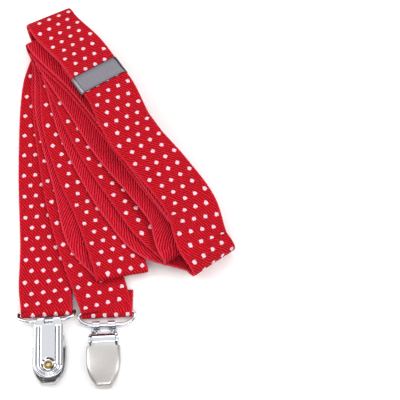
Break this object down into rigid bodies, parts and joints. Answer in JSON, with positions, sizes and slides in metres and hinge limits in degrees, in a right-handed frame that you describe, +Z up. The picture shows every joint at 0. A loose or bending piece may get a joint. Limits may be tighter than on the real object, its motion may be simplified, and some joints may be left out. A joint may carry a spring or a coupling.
{
  "type": "clip-on suspender strap",
  "caption": "Folded elastic suspender strap with an adjuster slide and a hinged spring clip on a wire bail at each end.",
  "frame": {"origin": "under the middle of the folded hank's outline, on the surface that it lies on", "axes": "+Z up from the table, +Y from the clips towards the far folds, +X to the right seen with the clips nearest"},
  "size_m": [0.1116, 0.2078, 0.0239],
  "materials": {
    "webbing": "ribbed red elastic webbing with woven white dots",
    "thread": "red polyester thread",
    "wire": "bright plated steel wire",
    "plate": "bright plated steel sheet",
    "cover": "satin nickel plate, finely brushed",
    "slide": "satin nickel plate",
    "pad": "moulded, matt",
    "eyelet": "plated brass, worn"
  },
  "bodies": {
    "strap": {"strap": "webbing", "slide_bar_tack": "thread", "clip_2_bar_tack": "thread"},
    "slide": {"slide_cover": "slide", "slide_sewn_bar": "slide", "slide_grip_bar": "slide"},
    "bail_1": {"clip_1_bail": "wire"},
    "clip_1": {"clip_1_back_plate": "plate", "clip_1_hinge_pin": "wire", "clip_1_grip_pad": "pad", "clip_1_eyelet": "eyelet"},
    "lever_1": {"clip_1_lever": "plate", "clip_1_cover": "cover"},
    "bail_2": {"clip_2_bail": "wire"},
    "clip_2": {"clip_2_back_plate": "plate", "clip_2_hinge_pin": "wire", "clip_2_grip_pad": "pad", "clip_2_eyelet": "eyelet"},
    "lever_2": {"clip_2_lever": "plate", "clip_2_cover": "cover"}
  },
  "joints": [
    {"name": "slide_travel", "type": "slide", "parent": "strap", "child": "slide", "axis": [-0.5515, 0.8342, 0], "range_m": [0, 0.006]},
    {"name": "bail_1_swing", "type": "hinge", "parent": "strap", "child": "bail_1", "pos_m": [-0.03237, -0.06822, 0.00381], "axis": [0.9976, 0.0698, 0], "range_deg": [-60, 0]},
    {"name": "clip_1_swing", "type": "hinge", "parent": "bail_1", "child": "clip_1", "pos_m": [-0.03062, -0.07321, 0.00613], "axis": [0.9976, 0.0698, 0], "range_deg": [-60, 60]},
    {"name": "lever_1_open", "type": "hinge", "parent": "clip_1", "child": "lever_1", "pos_m": [-0.03006, -0.08119, 0.00363], "axis": [0.9976, 0.0698, 0], "range_deg": [0, 80]},
    {"name": "bail_2_swing", "type": "hinge", "parent": "strap", "child": "bail_2", "pos_m": [-0.00457, -0.06822, 0.00262], "axis": [0.9986, 0.0523, 0], "range_deg": [-60, 0]},
    {"name": "clip_2_swing", "type": "hinge", "parent": "bail_2", "child": "clip_2", "pos_m": [-0.00568, -0.07385, 0.00193], "axis": [0.9986, 0.0523, 0], "range_deg": [-60, 60]},
    {"name": "lever_2_open", "type": "hinge", "parent": "clip_2", "child": "lever_2", "pos_m": [-0.00526, -0.08183, 0.00443], "axis": [-0.9986, -0.0523, 0], "range_deg": [0, 80]}
  ]
}
